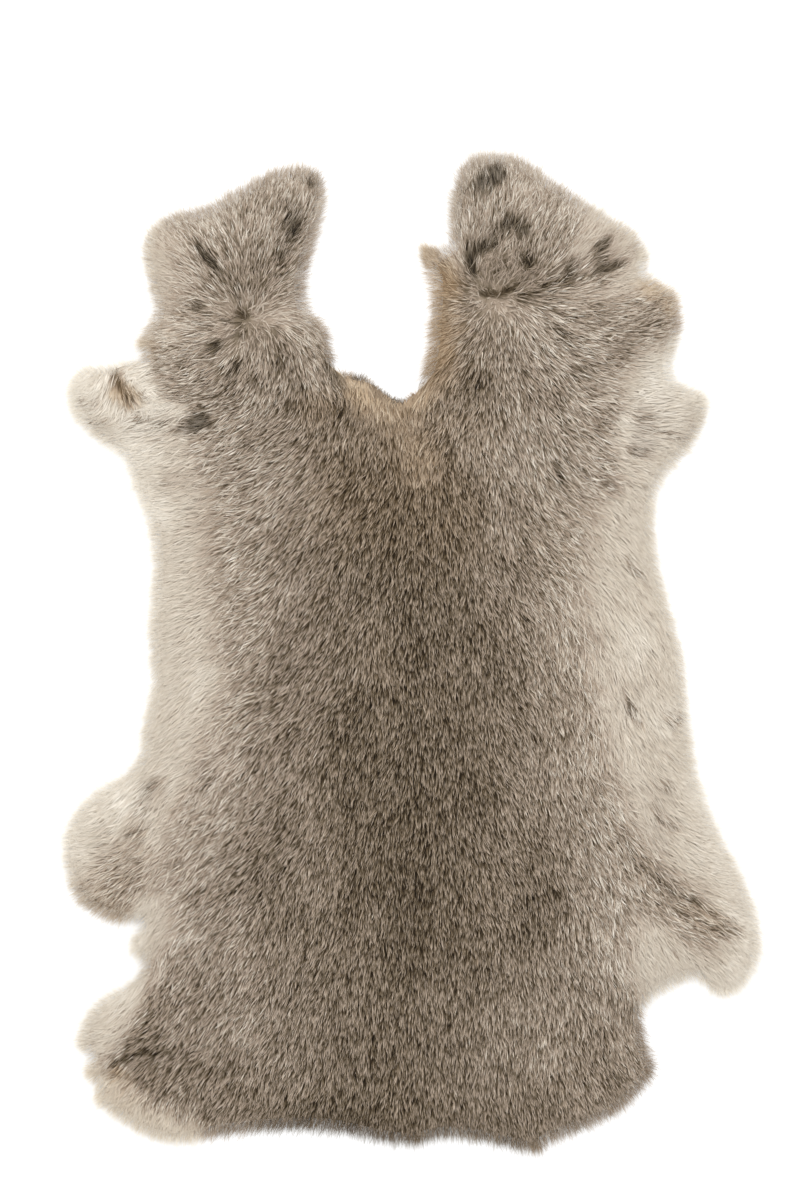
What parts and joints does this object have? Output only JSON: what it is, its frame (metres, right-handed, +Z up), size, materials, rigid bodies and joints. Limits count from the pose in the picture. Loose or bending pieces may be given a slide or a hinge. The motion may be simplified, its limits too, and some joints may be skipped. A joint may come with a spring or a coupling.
{
  "type": "rabbit skin pelt",
  "caption": "Flat-laid rabbit skin pelt, fur side up, grey-brown on the back and cream at the flanks, with short leg flaps and a cut neck between the shoulders.",
  "frame": {"origin": "on the resting plane, under the middle of the pelt's bounding box", "axes": "+Z up out of the fur, +Y from the tail end to the head end, +X to the right seen from above"},
  "size_m": [0.2864, 0.4062, 0.019],
  "materials": {
    "coat": "dense matt fur of soft hairs, agouti grey-brown on the back, cream at the flanks and leg flaps",
    "skin": "undyed tanned skin, suede-like, on the hidden underside"
  },
  "bodies": {
    "root": {"pelt": "coat"}
  },
  "joints": []
}
